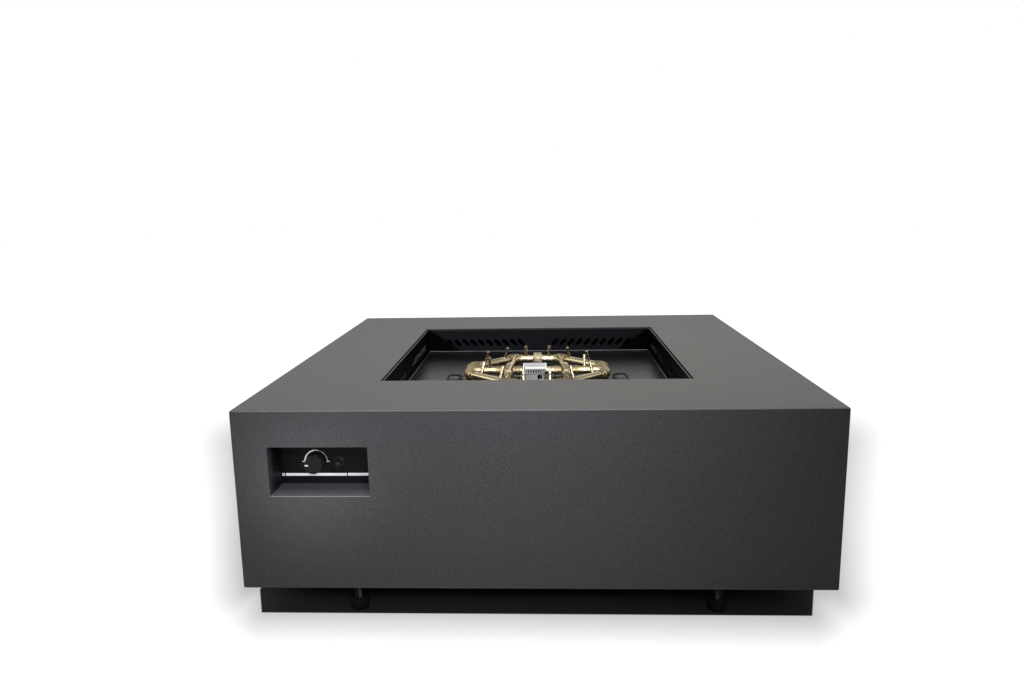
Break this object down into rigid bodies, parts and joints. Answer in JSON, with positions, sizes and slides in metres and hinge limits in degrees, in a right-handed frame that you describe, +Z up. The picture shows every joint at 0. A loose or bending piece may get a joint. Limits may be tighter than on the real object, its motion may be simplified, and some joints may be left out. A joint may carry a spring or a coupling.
{
  "type": "gas fire pit table",
  "caption": "Low square gas fire pit table in folded powder-coated sheet, with a slotted fire bowl, brass jet burner and pilot, lift bails and a recessed valve knob and igniter.",
  "frame": {"origin": "on the ground under the middle of the table", "axes": "+Z up, +Y to the back, +X to the right seen from the control side, which faces -Y"},
  "size_m": [1.219, 1.219, 0.432],
  "materials": {
    "powder_coat": "fine textured powder coat, satin",
    "frame_steel": "black paint on steel tube",
    "zinc_steel": "zinc plated",
    "foot_rubber": "black, matt",
    "bowl_black": "satin black paint",
    "pan_black": "satin black paint",
    "plate_steel": "bare plate",
    "pilot_steel": "bare stamped plate",
    "pipe_brass": "drawn, bright",
    "cast_brass": "cast, dull",
    "jet_brass": "machined, bright",
    "ceramic": "white glazed ceramic",
    "copper_wire": "copper sheathed lead",
    "bail_black": "black wire",
    "pocket_black": "satin black paint",
    "mark_white": "white print",
    "knob_black": "moulded, satin",
    "barrel_black": "moulded, satin",
    "valve_zinc": "die cast",
    "wire_black": "black insulation"
  },
  "bodies": {
    "table": {"top_panel": "powder_coat", "front_panel": "powder_coat", "back_panel": "powder_coat", "left_panel": "powder_coat", "right_panel": "powder_coat", "corner_posts": "frame_steel", "base_rails": "frame_steel", "rim_rails": "frame_steel", "opening_rails": "frame_steel", "bearer_posts": "frame_steel", "bearer_rails": "frame_steel", "foot_stems": "zinc_steel", "foot_pads": "foot_rubber", "liner_walls": "bowl_black", "liner_ledge": "bowl_black", "burner_pan": "pan_black", "pan_screws": "zinc_steel", "pan_nuts": "zinc_steel", "heat_shield": "plate_steel", "ring_pipes": "pipe_brass", "ring_elbows": "cast_brass", "side_tees": "cast_brass", "crossbar_pipes": "pipe_brass", "crosses": "cast_brass", "stub_pipes": "pipe_brass", "stub_plugs": "cast_brass", "burner_jets": "jet_brass", "inlet_block": "jet_brass", "burner_riser": "pipe_brass", "riser_locknut": "cast_brass", "pilot_hood": "pilot_steel", "pilot_box": "pilot_steel", "pilot_burner": "plate_steel", "spark_electrode": "ceramic", "flame_sensor": "copper_wire", "bail_ears": "pan_black", "pocket_box": "pocket_black", "control_panel": "pocket_black", "panel_marks": "mark_white", "panel_screws": "zinc_steel", "valve_body": "valve_zinc", "valve_screws": "zinc_steel", "valve_spring": "zinc_steel", "igniter_barrel": "barrel_black", "igniter_nut": "barrel_black", "igniter_spring": "zinc_steel", "igniter_battery": "cast_brass", "hose_nuts": "cast_brass", "outlet_hose": "zinc_steel", "supply_hose": "zinc_steel", "pilot_tube": "plate_steel", "ignition_wire": "wire_black", "gas_inlet": "cast_brass"},
    "plunger": {"valve_plunger": "cast_brass"},
    "knob_group": {"knob": "knob_black", "knob_pointer": "mark_white", "knob_spindle": "zinc_steel"},
    "button": {"igniter_button": "knob_black"},
    "left_lift_bail": {"left_bail": "bail_black"},
    "right_lift_bail": {"right_bail": "bail_black"}
  },
  "joints": [
    {"name": "valve_push", "type": "slide", "parent": "table", "child": "plunger", "axis": [0, 1, 0], "range_m": [0, 0.0045], "stiffness_N_per_m": 1200, "springref_m": -0.004},
    {"name": "knob_turn", "type": "hinge", "parent": "plunger", "child": "knob_group", "pos_m": [-0.4635, -0.5335, 0.299], "axis": [0, 1, 0], "range_deg": [0, 180]},
    {"name": "igniter_press", "type": "slide", "parent": "table", "child": "button", "axis": [0, 1, 0], "range_m": [0, 0.006], "stiffness_N_per_m": 700, "springref_m": -0.003},
    {"name": "left_bail_lift", "type": "hinge", "parent": "table", "child": "left_lift_bail", "pos_m": [-0.207, -0.068, 0.366], "axis": [0, 1, 0], "range_deg": [0, 90]},
    {"name": "right_bail_lift", "type": "hinge", "parent": "table", "child": "right_lift_bail", "pos_m": [0.207, -0.068, 0.366], "axis": [0, -1, 0], "range_deg": [0, 90]}
  ]
}
